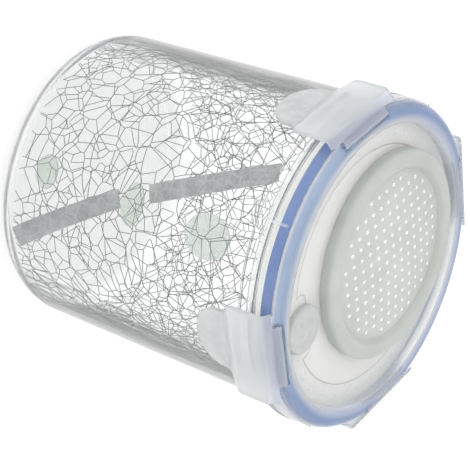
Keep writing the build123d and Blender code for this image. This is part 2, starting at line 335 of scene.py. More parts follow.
def crackle_web(around, tall, cells, seed):
    """Strands of a web of uneven cells on a strip that closes on itself sideways."""
    chance = random.Random(seed)
    seeds = []
    for _ in range(cells):
        across, up = chance.uniform(0, around), chance.uniform(0, tall)
        if seeds and chance.random() < NET_CLUMPED:
            beside = chance.choice(seeds)
            across = (beside[0] + chance.gauss(0, NET_CLUMP_SPREAD[0])) % around
            up = min(max(beside[1] + chance.gauss(0, NET_CLUMP_SPREAD[1]), 0), tall)
        seeds.append((across, up))
    wrap = 30.0
    spread = [
        (x + shift, y) for shift in (-around, 0, around) for x, y in seeds
        if -wrap < x + shift < around + wrap
    ]
    below = [(x, -y) for x, y in spread if y < wrap]
    above = [(x, 2 * tall - y) for x, y in spread if tall - y < wrap]
    spread = [Vector(spot) for spot in spread + below + above]
    points, _, triangles, *_ = delaunay_2d_cdt(spread, [], [], 0, 1e-6)
    centres = [circle_centre(*(points[corner] for corner in corners)) for corners in triangles]
    shared = {}
    for index, corners in enumerate(triangles):
        for k in range(3):
            shared.setdefault(frozenset((corners[k], corners[k - 1])), []).append(index)
    shortest, longest = NET_STRAND_LENGTHS
    strands = []
    for pair in shared.values():
        if len(pair) != 2:
            continue
        start, end = centres[pair[0]], centres[pair[1]]
        on_strip = min(start.y, end.y) < tall and max(start.y, end.y) > 0
        if 0 <= ((start + end) / 2).x < around and on_strip:
            if shortest < (end - start).length < longest:
                strands.append((clipped_end(start, end, tall), clipped_end(end, start, tall)))
    return strands


def vectored(tree, operation, *values):
    """The result of one Vector Math node."""
    node = add(tree, "ShaderNodeVectorMath", dict(enumerate(values)), operation=operation)
    return node.outputs["Value" if operation == "LENGTH" else "Vector"]


def finish_tree(tree, geometry, finish, result):
    """Ends a Geometry Nodes tree: instances made real and the material set."""
    real = add(tree, "GeometryNodeRealizeInstances", {"Geometry": geometry})
    made = add(tree, "GeometryNodeSetMaterial", {"Geometry": real, "Material": finish})
    plug_in(tree, result, {"Geometry": made})


def strand_tree():
    """Geometry Nodes: turns the web's edges into round strands laid on the tapered wall."""
    sizes = {
        "Geometry": "Geometry", "Strand radius": 0.2, "Foot radius": 50.0, "Flare": 0.0,
        "Foot height": 0.0, "Wander": 0.3, "Around": 320.0, "Finish": "Material",
    }
    tree, given, result = new_tree("net_strands", "GeometryNodeTree", sizes, {"Geometry": "Geometry"})
    place = add(tree, "GeometryNodeInputPosition")
    sway = add(tree, "ShaderNodeTexNoise", {"Vector": place, "Scale": NET_WANDER_SCALE})
    centred = vectored(tree, "SUBTRACT", sway.outputs["Color"], (0.5, 0.5, 0.5))
    swayed = add(tree, "ShaderNodeSeparateXYZ", {"Vector": centred}).outputs["X"]
    flat = add(tree, "ShaderNodeSeparateXYZ", {"Vector": place}).outputs
    share = calculated(tree, "DIVIDE", flat["X"], given["Around"])
    turn = calculated(tree, "MULTIPLY", share, 2 * math.pi)
    flared = calculated(tree, "MULTIPLY", flat["Y"], given["Flare"])
    wall = calculated(tree, "ADD", given["Foot radius"], flared)
    relief = calculated(tree, "ABSOLUTE", calculated(tree, "MULTIPLY", swayed, given["Wander"]))
    reach = calculated(tree, "SUBTRACT", wall, relief)
    laid = add(tree, "ShaderNodeCombineXYZ", {
        "X": calculated(tree, "MULTIPLY", reach, calculated(tree, "COSINE", turn)),
        "Y": calculated(tree, "MULTIPLY", reach, calculated(tree, "SINE", turn)),
        "Z": calculated(tree, "ADD", flat["Y"], given["Foot height"]),
    })
    metres = add(tree, "ShaderNodeVectorMath", {0: laid, "Scale": MM}, operation="SCALE")
    curves = add(tree, "GeometryNodeMeshToCurve", {"Mesh": given["Geometry"]})
    by_length = {"Curve": curves, "Length": NET_STRAND_STEP}
    resampled = add(tree, "GeometryNodeResampleCurve", by_length, mode="LENGTH")
    moved = add(tree, "GeometryNodeSetPosition", {"Geometry": resampled, "Position": metres})
    radius = calculated(tree, "MULTIPLY", given["Strand radius"], MM)
    round_section = {"Resolution": NET_STRAND_SIDES, "Radius": radius}
    section = add(tree, "GeometryNodeCurvePrimitiveCircle", round_section)
    sweep = {"Curve": moved, "Profile Curve": section, "Fill Caps": True}
    swept = add(tree, "GeometryNodeCurveToMesh", sweep)
    finish_tree(tree, swept, given["Finish"], result)
    return tree


def plain_from_tree(name, mesh, tree, **values):
    """Runs a Geometry Nodes tree on a mesh and returns the result as one plain, linked piece."""
    source = placed(name + "_source", mesh)
    modifier = source.modifiers.new(name, "NODES")
    modifier.node_group = tree
    for item in tree.interface.items_tree:
        title = item.name.replace(" ", "_")
        if item.in_out == "INPUT" and title in values:
            modifier[item.identifier] = values[title]
    depsgraph = bpy.context.evaluated_depsgraph_get()
    made = bpy.data.meshes.new_from_object(source.evaluated_get(depsgraph))
    bpy.data.objects.remove(source)
    made.name = name
    return placed(name, made)


def grey_yarn():
    """Dull grey polyester yarn: light and dark fibres along the strand, matt and slightly rough."""
    material, tree, yarn, place = blank_material("grey_yarn")
    fibres = noise(tree, place, 260.0, 4.0)
    plug_in(tree, yarn, {
        "Base Color": toned(tree, fibres, (0.35, (0.08, 0.088, 0.083)), (0.68, (0.19, 0.20, 0.195))),
        "Roughness": 0.75,
        "Normal": bumped(tree, fibres, 0.4, 0.0001),
    })
    return material


net_around = 2 * math.pi * (wall_radius(NET_MIDDLE) - NET_GAP)
bm = bmesh.new()
for layer, (cells, seed) in enumerate(NET_WEBS):
    corners = {}
    for strand in crackle_web(net_around, NET_TOP - NET_BOTTOM, cells, seed):
        ends = []
        for point in strand:
            key = (round(point.x, 3), round(point.y, 3))
            if key not in corners:
                corners[key] = bm.verts.new((point.x, point.y, layer * NET_WEB_STEP))
            ends.append(corners[key])
        if ends[0] is not ends[1] and not bm.edges.get(ends):
            bm.edges.new(ends)
web = bpy.data.meshes.new("net_web")
bm.to_mesh(web)
bm.free()
net = plain_from_tree(
    "net_sleeve", web, strand_tree(), Strand_radius=NET_STRAND / 2,
    Foot_radius=wall_radius(NET_BOTTOM) - NET_GAP, Flare=JAR_WALL_FLARE, Foot_height=NET_BOTTOM,
    Wander=NET_WANDER, Around=net_around, Finish=grey_yarn(),
)
net.data.shade_smooth()
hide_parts("climbing_net")
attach(net, "jar")

# Tape: two lengths of grey felted tape between the net and the wall, cut square and pressed flat.
# Each follows the wall's curve, so it is made as a strip of small steps at the wall's radius.
TAPE_WIDTH = 6.6
TAPE_THICKNESS = 0.25
TAPE_GAP = 0.12
TAPE_FRAY = 0.12
TAPE_FACING = -82.5
TAPE_LOWER = ((27.2, 10.3), (1.8, 55.8))
TAPE_UPPER = ((-2.8, 67.3), (-22.3, 111.4))


def wall_point(facing, across, height, gap):
    """Point a gap inside the wall, across millimetres to the right of where a direction meets it."""
    radius = wall_radius(height) - gap
    turn = math.radians(facing) + math.asin(across / radius)
    return Vector((radius * math.cos(turn), radius * math.sin(turn), height)) * MM


def wall_strip(name, start, end, seed):
    """A flat strip from start to end on the wall, with slightly uneven cut edges."""
    chance = random.Random(seed)
    start, end = Vector(start), Vector(end)
    along = (end - start).normalized()
    side = Vector((-along.y, along.x)) * TAPE_WIDTH / 2
    steps, ribs = 48, 8
    frays = [[chance.uniform(-TAPE_FRAY, TAPE_FRAY) for _ in range(2)] for _ in range(steps + 1)]
    bm = bmesh.new()
    layers = []
    for gap in (TAPE_GAP, TAPE_GAP + TAPE_THICKNESS):
        rows = []
        for k in range(steps + 1):
            middle = start.lerp(end, k / steps)
            row = []
            for j in range(ribs + 1):
                share = 2 * j / ribs - 1
                fray = frays[k][0] if share < 0 else frays[k][1]
                point = middle + side * share * (1 + fray / TAPE_WIDTH * abs(share))
                row.append(bm.verts.new(wall_point(TAPE_FACING, point.x, point.y, gap)))
            rows.append(row)
        layers.append(rows)
        for row, following in zip(rows, rows[1:]):
            bridge(bm, row, following, closed=False)
    border = [(k, 0) for k in range(steps + 1)] + [(steps, j) for j in range(1, ribs + 1)]
    border += [(k, ribs) for k in range(steps - 1, -1, -1)] + [(0, j) for j in range(ribs - 1, 0, -1)]
    bridge(bm, *([rows[k][j] for k, j in border] for rows in layers))
    return finished_mesh(name, bm)


def blended(tree, factor, first, second, blend_type="MIX"):
    """Two colours mixed by a factor."""
    inputs = {"Factor": factor, "A": first, "B": second}
    node = add(tree, "ShaderNodeMix", inputs, data_type="RGBA", blend_type=blend_type)
    return node.outputs["Result"]


def grey_felt():
    """Grey felt of short fibres: cloudy mottling, fine fibre flecks and faint pale creases across."""
    material, tree, felt, place = blank_material("grey_felt")
    cloud = noise(tree, place, 170.0, 6.0, Roughness=0.7)
    mottled = toned(tree, cloud, (0.32, (0.36, 0.375, 0.38)), (0.7, (0.64, 0.66, 0.665)))
    fibres = noise(tree, place, 1500.0, 3.0)
    flecked = blended(tree, 0.35, mottled, fibres, "OVERLAY")
    threads = add(
        tree, "ShaderNodeTexVoronoi", {"Vector": place, "Scale": 210.0}, feature="DISTANCE_TO_EDGE",
    )
    pale = mask(tree, threads, 0.02, 0.07, 0.4, 0.0)
    plug_in(tree, felt, {
        "Base Color": blended(tree, pale, flecked, (0.74, 0.75, 0.76, 1)),
        "Roughness": 0.95,
        "Sheen Weight": 0.3,
        "Normal": bumped(tree, fibres, 0.7, 0.0002),
    })
    return material


felt = grey_felt()
for name, node, run, seed in (
    ("tape_lower", "seam_tape_lower", TAPE_LOWER, 3),
    ("tape_upper", "seam_tape_upper", TAPE_UPPER, 4),
):
    tape = wall_strip(name, *run, seed)
    tape.data.materials.append(felt)
    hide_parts(node)
    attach(tape, "jar")

# Pads: three soft ovals of clear, faintly green gel that stick the net to the wall. Each is a low
# lens that follows the wall, thin at its rim, and they are one piece as they are one node.
# Each pad has its direction, its height on the wall, and how tall and how wide it is.
PADS = ((-81.0, 22.1, 10.0, 12.0), (-80.0, 61.5, 9.5, 15.0), (-78.0, 94.2, 18.5, 15.0))
PAD_GAP = 0.3
PAD_THICKNESS = 0.5
PAD_RIM = 0.02


def gel_pads(name):
    """Oval lenses on the wall, each from rings that shrink to its middle."""
    bm = bmesh.new()
    around, rings = 48, 8
    for facing, height, tall, wide in PADS:
        rims = []
        for swell in (0, 1):
            grown = []
            for ring in range(rings + 1):
                share = math.sin(math.pi / 2 * ring / rings)
                bulge = math.sqrt(max(0.0, 1 - share ** 2))
                gap = PAD_GAP + swell * PAD_THICKNESS * bulge + PAD_RIM * swell
                count = around if ring else 1
                row = []
                for k in range(count):
                    t = 2 * math.pi * k / count
                    across = wide / 2 * share * math.cos(t)
                    up = height + tall / 2 * share * math.sin(t)
                    row.append(bm.verts.new(wall_point(facing, across, up, gap)))
                grown.append(row)
            for inner, outer in zip(grown, grown[1:]):
                bridge(bm, inner, outer)
            rims.append(grown[-1])
        bridge(bm, *rims)
    return finished_mesh(name, bm, sharpest=60)


def green_gel():
    """Clear gel with a cloudy green-grey cast and a dimpled skin."""
    material, tree, gel, place = blank_material("green_gel")
    cloud = noise(tree, place, 210.0, 4.0)
    plug_in(tree, gel, {
        "Base Color": toned(tree, cloud, (0.3, (0.79, 0.84, 0.79)), (0.7, (0.86, 0.90, 0.86))),
        "Transmission Weight": 0.85,
        "IOR": 1.35,
        **moulded_skin(tree, ripple=(180.0, 0.25, 900.0, 0.1), haze=(160.0, 0.1, 0.3)),
    })
    let_lamps_through(tree, gel, (0.85, 0.9, 0.86, 1))
    return material


pads = gel_pads("gel_pads")
pads.data.materials.append(green_gel())
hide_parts("net_pads")
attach(pads, "jar")

# Gasket: one ring of blue silicone rubber pushed into the channel under the lid's ring. Its corners
# are rounded and two low beads on its underside meet the jar's rim.
GASKET_OUTLINE = [
    (51.75, 121.5, 0.5), (52.6, 121.5, 0.2), (53.3, 121.3, 0.15), (54.1, 121.3, 0.15),
    (54.8, 121.5, 0.2), (56.35, 121.5, 0.5), (56.35, 125.3, 0.5), (51.75, 125.3, 0.5),
]


def blue_silicone():
    """Blue silicone: satin, faintly see-through, with a soft uneven tone and a fine grain."""
    material, tree, rubber, place = blank_material("blue_silicone")
    tone = noise(tree, place, 70.0, 3.0)
    plug_in(tree, rubber, {
        "Base Color": toned(tree, tone, (0.3, (0.14, 0.27, 0.64)), (0.7, (0.20, 0.34, 0.73))),
        "Subsurface Weight": 0.3,
        "Subsurface Radius": (0.001, 0.0015, 0.003),
        "Subsurface Scale": 1.0,
        **moulded_skin(tree, ripple=(120.0, 0.05, 2500.0, 0.1), haze=(120.0, 0.35, 0.5)),
    })
    return material


gasket = turned("gasket_ring", rounded_outline(GASKET_OUTLINE, arc_steps=5))
gasket.data.materials.append(blue_silicone())
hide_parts("gasket")
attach(gasket, "lid")

# Lid: one moulding of clear plastic, a raised ring with the gasket's channel under it round a sunken
# panel. Four pockets in the ring hold the clips' hinge bars, and the panel has a vent and a port hole.
LID_OUTLINE = [
    (0.0, 123.4, 0.0), (50.0, 123.4, 0.3), (50.0, 118.5, 0.3), (51.6, 118.5, 0.3),
    (51.6, 125.4, 0.3), (56.5, 125.4, 0.3), (56.5, 119.0, 0.3), (58.0, 119.0, 0.3),
    (58.0, 129.0, 5.0), (50.0, 129.0, 1.4), (50.0, 125.0, 0.5), (0.0, 125.0, 0.0),
]
PANEL_MIDDLE = 124.2
DRILL_LENGTH = 6.0
VENT_CENTRE = (-5.94, 5.94)
PORT_CENTRE = (28.28, -28.28)
VENT_HOLE = 32.4
PORT_HOLE = 6.0
HINGE_REACH = 54.5
HINGE_HEIGHT = 127.6
HINGE_BAR = 0.6
BARREL = 1.2
POCKET_GAP = 0.35
POCKET_LENGTH = 24.8
HINGE_BAR_LENGTH = POCKET_LENGTH + 1.0
POCKET_RUN = (2.0, 9.0)
POCKET_TOP = 134.0
ARM_SLANT = 0.5847
ARM_WALL = 1.0
CLIP_DIRECTIONS = (45.0, 135.0, 225.0, 315.0)
RIB_OUTLINE = [
    (57.4, 119.1), (58.25, 119.1), (58.38, 119.3), (58.38, 124.9), (58.2, 125.2), (57.4, 125.3),
]
RIB_WIDTH = 1.0
SMOOTH_ZONE = 42.4
RECESS_MIDDLE = 46.0
RECESS_HALF = (10.0, 12.4)
RECESS_CORNER = 3.0
PANEL_EDGE = 50.25
# Painted light: the gasket's blue glow seen through the ring is painted into its colour.
RING_PAINTED_GLOW_FOOT = 125.5
RING_PAINTED_GLOW_END = 57.4
RING_PAINTED_GLOW_RISE = (51.4, 54.6)
RING_PAINTED_GLOW_FALL = (56.7, 57.5)
RIB_FACE = 58.1
RING_PAINTED_PALE_LILAC = (0.74, 0.76, 0.80, 1)
RING_PAINTED_GASKET_BLUE = (0.30, 0.41, 0.62, 1)


def prism(name, outline, width, direction):
    """A closed bar with an outline of (reach, height) in millimetres, spread across a direction."""
    place = Matrix.Rotation(math.radians(direction), 3, "Z")
    bm = bmesh.new()
    sides = [
        [bm.verts.new(place @ Vector((reach, across, height)) * MM) for reach, height in outline]
        for across in (-width / 2, width / 2)
    ]
    bm.faces.new(sides[0])
    bm.faces.new(sides[1])
    bridge(bm, *sides)
    return finished_mesh(name, bm)


def hinge_circle(radius, count, first=0.0, sweep=360.0):
    """Points round the hinge's axis, in degrees; a full circle leaves out its last point."""
    steps = count if sweep == 360.0 else count - 1
    turns = [math.radians(first + sweep * k / steps) for k in range(count)]
    return [(HINGE_REACH + radius * math.cos(t), HINGE_HEIGHT + radius * math.sin(t)) for t in turns]


def arm_point(run, depth):
    """Point a run down a clip's sloping arm from its barrel, and a depth under the outer face."""
    lift = BARREL - depth
    return (
        HINGE_REACH + lift * math.sin(ARM_SLANT) + run * math.cos(ARM_SLANT),
        HINGE_HEIGHT + lift * math.cos(ARM_SLANT) - run * math.sin(ARM_SLANT),
    )


def without_slivers(mesh):
    """Merges points that a cut left on top of each other and marks the sharp edges again."""
    bm = bmesh.new()
    bm.from_mesh(mesh)
    bmesh.ops.remove_doubles(bm, verts=bm.verts, dist=2e-6)
    bmesh.ops.dissolve_degenerate(bm, edges=bm.edges, dist=1e-7)
    bm.to_mesh(mesh)
    bm.free()
    mesh.shade_smooth()
    mesh.set_sharp_from_angle(angle=math.radians(SHARP_EDGE))


def combined(base, others, operation):
    """Cuts or joins closed bodies, removes the tools and closes the slivers that the cuts leave."""
    for tool in others:
        modifier = base.modifiers.new(operation, "BOOLEAN")
        modifier.operation = operation
        modifier.solver = "EXACT"
        modifier.object = tool
    depsgraph = bpy.context.evaluated_depsgraph_get()
    made = bpy.data.meshes.new_from_object(base.evaluated_get(depsgraph))
    base.modifiers.clear()
    for tool in others:
        bpy.data.objects.remove(tool)
    without_slivers(made)
    base.data = made
    return base


def flat_distance(tree, place):
    """How far a place is from the middle, seen from above, in millimetres."""
    return vectored(tree, "LENGTH", vectored(tree, "MULTIPLY", place, (1 / MM, 1 / MM, 0)))


def opposite(tree, value):
    """What is left of one when a value is taken away."""
    return calculated(tree, "SUBTRACT", 1.0, value)


def finish_lid(tree, plastic, colour, transmission, clean, handled, relief=None):
    """What the lid's finishes share: its plastic, its ripple and a clear path for the lamps."""
    skin = moulded_skin(tree, ripple=(70.0, 0.02, 900.0, 0.004), haze=(55.0, clean, handled))
    if relief:
        skin["Normal"] = bumped(tree, relief, 0.5, 0.0002, skin["Normal"])
    plug_in(tree, plastic, {
        "Base Color": colour, "Transmission Weight": transmission, "IOR": 1.5, **skin,
    })
    let_lamps_through(tree, plastic, (0.93, 0.94, 0.93, 1))


def clear_lid_plastic():
    """Clear plastic of the lid's skirt and of the ring's outer edge, with a soft moulded gloss."""
    material, tree, plastic, place = blank_material("clear_lid_plastic")
    cast = mask(tree, noise(tree, place, 90.0, 3.0), 0.35, 0.7)
    colour = blended(tree, cast, (0.94, 0.94, 0.93, 1), (0.915, 0.918, 0.91, 1))
    finish_lid(tree, plastic, colour, 1.0, clean=0.14, handled=0.24)
    return material


def lilac_ring_plastic():
    """The same plastic over the gasket, with the gasket's blue glow painted in, fading to its edges.
    """
    material, tree, plastic, place = blank_material("lilac_ring_plastic")
    axis = flat_distance(tree, place)
    inner = mask(tree, axis, *RING_PAINTED_GLOW_RISE, curve="SMOOTHSTEP")
    outer = opposite(tree, mask(tree, axis, *RING_PAINTED_GLOW_FALL, curve="SMOOTHSTEP"))
    colour = blended(tree, calculated(tree, "MULTIPLY", inner, outer), RING_PAINTED_PALE_LILAC, RING_PAINTED_GASKET_BLUE)
    finish_lid(tree, plastic, colour, 0.6, clean=0.14, handled=0.24)
    return material


def frosted_panel_plastic():
    """The sunken panel: frosted, with a finer smooth zone in the middle and a scored line round it."""
    material, tree, plastic, place = blank_material("frosted_panel_plastic")
    axis = flat_distance(tree, place)
    from_recess = add(tree, "ShaderNodeMapping", {
        "Vector": place, "Scale": (1 / MM, 1 / MM, 0), "Rotation": (0, 0, math.radians(45)),
        "Location": (-RECESS_MIDDLE, 0, 0),
    })
    spot = vectored(tree, "ABSOLUTE", from_recess)
    half = [size - RECESS_CORNER for size in RECESS_HALF]
    spot = vectored(tree, "MAXIMUM", vectored(tree, "SUBTRACT", spot, (*half, 0)), (0, 0, 0))
    port = calculated(tree, "SUBTRACT", vectored(tree, "LENGTH", spot), RECESS_CORNER)
    outside = mask(tree, axis, SMOOTH_ZONE, SMOOTH_ZONE + 0.2)
    frosted = calculated(tree, "MAXIMUM", outside, opposite(tree, mask(tree, port, 0.0, 0.2)))
    grain = noise(tree, place, 1300.0, 2.0)
    speckle = calculated(tree, "MULTIPLY", mask(tree, grain, 0.52, 0.64), frosted)
    grained = blended(tree, speckle, (0.93, 0.93, 0.918, 1), (0.82, 0.82, 0.805, 1))
    lines = []
    for distance, radius in ((axis, SMOOTH_ZONE), (port, 0.0)):
        near = mask(tree, distance, radius - 0.35, radius)
        far = opposite(tree, mask(tree, distance, radius + 0.05, radius + 0.4))
        lines.append(calculated(tree, "MULTIPLY", near, far))
    arc = calculated(tree, "MULTIPLY", lines[0], mask(tree, port, -0.2, 0.0))
    bite = calculated(tree, "MULTIPLY", lines[1], opposite(tree, outside))
    zone_line = calculated(tree, "MAXIMUM", arc, bite)
    stipple = calculated(tree, "MULTIPLY", calculated(tree, "MULTIPLY", grain, frosted), 0.6)
    finish_lid(
        tree, plastic, blended(tree, zone_line, grained, (0.52, 0.52, 0.51, 1)), 0.6,
        clean=0.47, handled=0.55, relief=calculated(tree, "ADD", stipple, zone_line),
    )
    return material


lid = turned("lid_shell", rounded_outline(LID_OUTLINE, arc_steps=12))
cutters = []
for name, centre, radius, count in (
    ("vent_hole", VENT_CENTRE, VENT_HOLE, 160), ("port_hole", PORT_CENTRE, PORT_HOLE, 64),
):
    bm = bmesh.new()
    bmesh.ops.create_cone(
        bm, cap_ends=True, segments=count, radius1=radius * MM, radius2=radius * MM,
        depth=DRILL_LENGTH * MM, matrix=Matrix.Translation(Vector((*centre, PANEL_MIDDLE)) * MM),
    )
    cutters.append(finished_mesh(name, bm))
pocket = hinge_circle(BARREL + POCKET_GAP, 16, first=180.0, sweep=170.0)
pocket += [arm_point(run, ARM_WALL + POCKET_GAP) for run in POCKET_RUN]
pocket_sides = (arm_point(POCKET_RUN[1], 0)[0], HINGE_REACH - (BARREL + POCKET_GAP))
pocket += [(side, POCKET_TOP) for side in pocket_sides]
for direction in CLIP_DIRECTIONS:
    cutters.append(prism("pocket", pocket, POCKET_LENGTH, direction))
lid = combined(lid, cutters, "DIFFERENCE")
additions = [prism("skirt_rib", RIB_OUTLINE, RIB_WIDTH, 90 * quarter) for quarter in range(4)]
bar = hinge_circle(HINGE_BAR, 24)
additions += [prism("hinge_bar", bar, HINGE_BAR_LENGTH, direction) for direction in CLIP_DIRECTIONS]
lid = combined(lid, additions, "UNION")
lid.data.materials.clear()
for finish in (clear_lid_plastic(), lilac_ring_plastic(), frosted_panel_plastic()):
    lid.data.materials.append(finish)
# Ring faces over the gasket and the ribs' faces take the plastic with the painted gasket glow.
for face in lid.data.polygons:
    reach, height = face.center.xy.length / MM, face.center.z / MM
    takes_painted_glow = height > RING_PAINTED_GLOW_FOOT and reach < RING_PAINTED_GLOW_END or reach > RIB_FACE
    face.material_index = 2 if reach < PANEL_EDGE else 1 if takes_painted_glow else 0
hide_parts("lid")
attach(lid, "lid")

# Vent: a soft moulded cap of frosted greenish plastic that snaps into the lid's big hole. It has a
# thick rounded border, a groove inside it and a shallow dome pierced by a square grid of pin holes.
VENT_OUTLINE = [
    (28.9, 126.8, 0.0), (28.9, 121.6, 0.3), (32.2, 121.6, 0.5), (33.2, 122.9, 0.2),
    (33.2, 123.2, 0.2), (32.2, 123.2, 0.0), (32.2, 125.0, 0.0), (37.3, 125.0, 0.3),
    (37.3, 129.8, 1.9), (32.0, 129.8, 1.6), (30.3, 128.1, 0.7),
]
DOME_FOOT = (29.6, 128.1)
DOME_TOP = 129.75
DOME_SKIN = 0.6
DOME_STEPS = 24
VENT_BORE = 28.9
LIP_INSIDE = (30.2, 126.9)
PIN_HOLE = 0.52
PIN_HOLE_SIDES = 14
PIN_PITCH = 4.35
PIN_COUNT = 15
PIN_FIELD = 28.0
PIN_FIELD_RIM = 0.7
PIN_TURN = 45.0
PIN_CELL_SHIFT = 100.5
PIN_DRILL = 8.0
PAINTED_HOLE_LIGHT_RIM = (0.02, 0.08)


def pierce_tree():
    """Geometry Nodes: drills a turned square grid of holes through a cap, inside a round field."""
    sizes = {
        "Geometry": "Geometry", "Pitch": 0.004, "Hole radius": 0.0006, "Field radius": 0.028,
        "Turn": 45.0, "Level": 0.129, "Centre X": 0.0, "Centre Y": 0.0, "Finish": "Material",
    }
    tree, given, result = new_tree("pin_holes", "GeometryNodeTree", sizes, {"Geometry": "Geometry"})
    span = calculated(tree, "MULTIPLY", given["Pitch"], PIN_COUNT - 1)
    grid = add(tree, "GeometryNodeMeshGrid", {
        "Vertices X": PIN_COUNT, "Vertices Y": PIN_COUNT, "Size X": span, "Size Y": span,
    })
    spots = add(tree, "GeometryNodeMeshToPoints", {"Mesh": grid})
    place = add(tree, "GeometryNodeInputPosition")
    away = vectored(tree, "LENGTH", place)
    outside = calculated(tree, "GREATER_THAN", away, given["Field radius"])
    kept = add(
        tree, "GeometryNodeDeleteGeometry", {"Geometry": spots, "Selection": outside}, domain="POINT",
    )
    drill = add(tree, "GeometryNodeMeshCylinder", {
        "Vertices": PIN_HOLE_SIDES, "Depth": PIN_DRILL * MM, "Radius": given["Hole radius"],
    })
    drills = add(tree, "GeometryNodeInstanceOnPoints", {"Points": kept, "Instance": drill})
    turn = calculated(tree, "RADIANS", given["Turn"])
    angle = add(tree, "ShaderNodeCombineXYZ", {"Z": turn})
    level = add(tree, "ShaderNodeCombineXYZ", {
        "X": given["Centre X"], "Y": given["Centre Y"], "Z": given["Level"],
    })
    turned_grid = add(tree, "GeometryNodeTransform", {
        "Geometry": drills, "Rotation": angle, "Translation": level,
    })
    loose = add(tree, "GeometryNodeRealizeInstances", {"Geometry": turned_grid})
    cut = add(
        tree, "GeometryNodeMeshBoolean", {"Mesh 1": given["Geometry"], "Mesh 2": loose},
        operation="DIFFERENCE", solver="EXACT",
    )
    finish_tree(tree, cut, given["Finish"], result)
    return tree


def frosted_green_plastic():
    """Soft frosted plastic, white with a green-grey cast, grained and a little see-through, with
    painted light in its pin holes.
    """
    material, tree, plastic, place = blank_material("frosted_green_plastic")
    cloud = noise(tree, place, 60.0, 4.0)
    tone = toned(tree, cloud, (0.3, (0.59, 0.615, 0.585)), (0.7, (0.66, 0.685, 0.655)))
    centre = (VENT_CENTRE[0] * MM, VENT_CENTRE[1] * MM, 0)
    from_middle = vectored(tree, "SUBTRACT", place, centre)
    on_grid = add(tree, "ShaderNodeMapping", {
        "Vector": from_middle, "Rotation": (0, 0, math.radians(-PIN_TURN)),
        "Scale": (1 / (PIN_PITCH * MM), 1 / (PIN_PITCH * MM), 0),
        "Location": (PIN_CELL_SHIFT, PIN_CELL_SHIFT, 0),
    })
    cell = vectored(tree, "FRACTION", on_grid)
    off_hole = vectored(tree, "LENGTH", vectored(tree, "SUBTRACT", cell, (0.5, 0.5, 0)))
    # Painted light: holes and a thin rim round them are painted near white and glow faintly.
    low, high = ((PIN_HOLE + past) / PIN_PITCH for past in PAINTED_HOLE_LIGHT_RIM)
    hole = mask(tree, off_hole, low, high, 1.0, 0.0)
    field = flat_distance(tree, from_middle)
    pierced = calculated(tree, "LESS_THAN", field, PIN_FIELD + PIN_FIELD_RIM)
    bright = calculated(tree, "MULTIPLY", hole, pierced)
    plug_in(tree, plastic, {
        "Base Color": blended(tree, bright, tone, (0.98, 0.99, 0.98, 1)),
        "Emission Color": blended(tree, bright, (0.0, 0.0, 0.0, 1), (1.0, 1.0, 1.0, 1)),
        "Emission Strength": 0.35,
        "Subsurface Weight": 0.5,
        "Subsurface Radius": (0.002, 0.0022, 0.002),
        "Subsurface Scale": 1.0,
        "Transmission Weight": 0.25,
        "IOR": 1.45,
        **moulded_skin(tree, ripple=(60.0, 0.06, 1600.0, 0.25), haze=(80.0, 0.42, 0.55)),
    })
    return material


def moved_to(piece, centre):
    """Moves a piece's mesh across to a centre in millimetres."""
    for vertex in piece.data.vertices:
        vertex.co.x += centre[0] * MM
        vertex.co.y += centre[1] * MM
    return piece


dome_rise = DOME_TOP - DOME_FOOT[1]
dome_radius = (DOME_FOOT[0] ** 2 + dome_rise ** 2) / (2 * dome_rise)
dome_centre = DOME_TOP - dome_radius
dome = []
for k in range(DOME_STEPS + 1):
    across = DOME_FOOT[0] * (1 - k / DOME_STEPS)
    dome.append(Vector((across, dome_centre + math.sqrt(dome_radius ** 2 - across ** 2))))
under_dome = [Vector((min(point.x, VENT_BORE), point.y - DOME_SKIN)) for point in reversed(dome)]
border = [
    point for point in rounded_outline(VENT_OUTLINE, arc_steps=6)
    if point.x >= LIP_INSIDE[0] or point.y <= LIP_INSIDE[1]
]
blank = moved_to(turned("vent_dome", border[1:] + dome + under_dome, around=192), VENT_CENTRE)
blank_mesh = blank.data
bpy.data.objects.remove(blank)
vent = plain_from_tree(
    "vent_moulding", blank_mesh, pierce_tree(), Pitch=PIN_PITCH * MM, Hole_radius=PIN_HOLE * MM,
    Field_radius=PIN_FIELD * MM, Turn=PIN_TURN, Level=DOME_TOP * MM, Centre_X=VENT_CENTRE[0] * MM,
    Centre_Y=VENT_CENTRE[1] * MM, Finish=frosted_green_plastic(),
)
without_slivers(vent.data)
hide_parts("vent_cap")
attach(vent, "lid")

# Feeding plug: a small round stopper of grey silicone, its stem pushed into the port hole and its
# soft rounded head lying on the panel.
PLUG_OUTLINE = [
    (0.0, 121.4, 0.0), (5.2, 121.4, 0.3), (5.9, 122.1, 0.3), (5.9, 125.1, 0.0),
    (8.6, 125.1, 0.2), (8.6, 126.9, 0.8), (0.0, 126.9, 0.0),
]


def grey_silicone():
    """Cloudy grey silicone: matt, slightly see-through, with dust caught in a fine grain."""
    material, tree, rubber, place = blank_material("grey_silicone")
    dust = noise(tree, place, 420.0, 5.0)
    plug_in(tree, rubber, {
        "Base Color": toned(tree, dust, (0.3, (0.63, 0.64, 0.635)), (0.75, (0.73, 0.74, 0.735))),
        "Transmission Weight": 0.3,
        "IOR": 1.42,
        **moulded_skin(tree, ripple=(150.0, 0.06, 2000.0, 0.2), haze=(150.0, 0.5, 0.65)),
    })
    return material


plug = turned("feeding_plug_head", rounded_outline(PLUG_OUTLINE, arc_steps=6), around=96)
plug = moved_to(plug, PORT_CENTRE)
plug.data.materials.append(grey_silicone())
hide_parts("feeding_plug")
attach(plug, "feeding_plug")

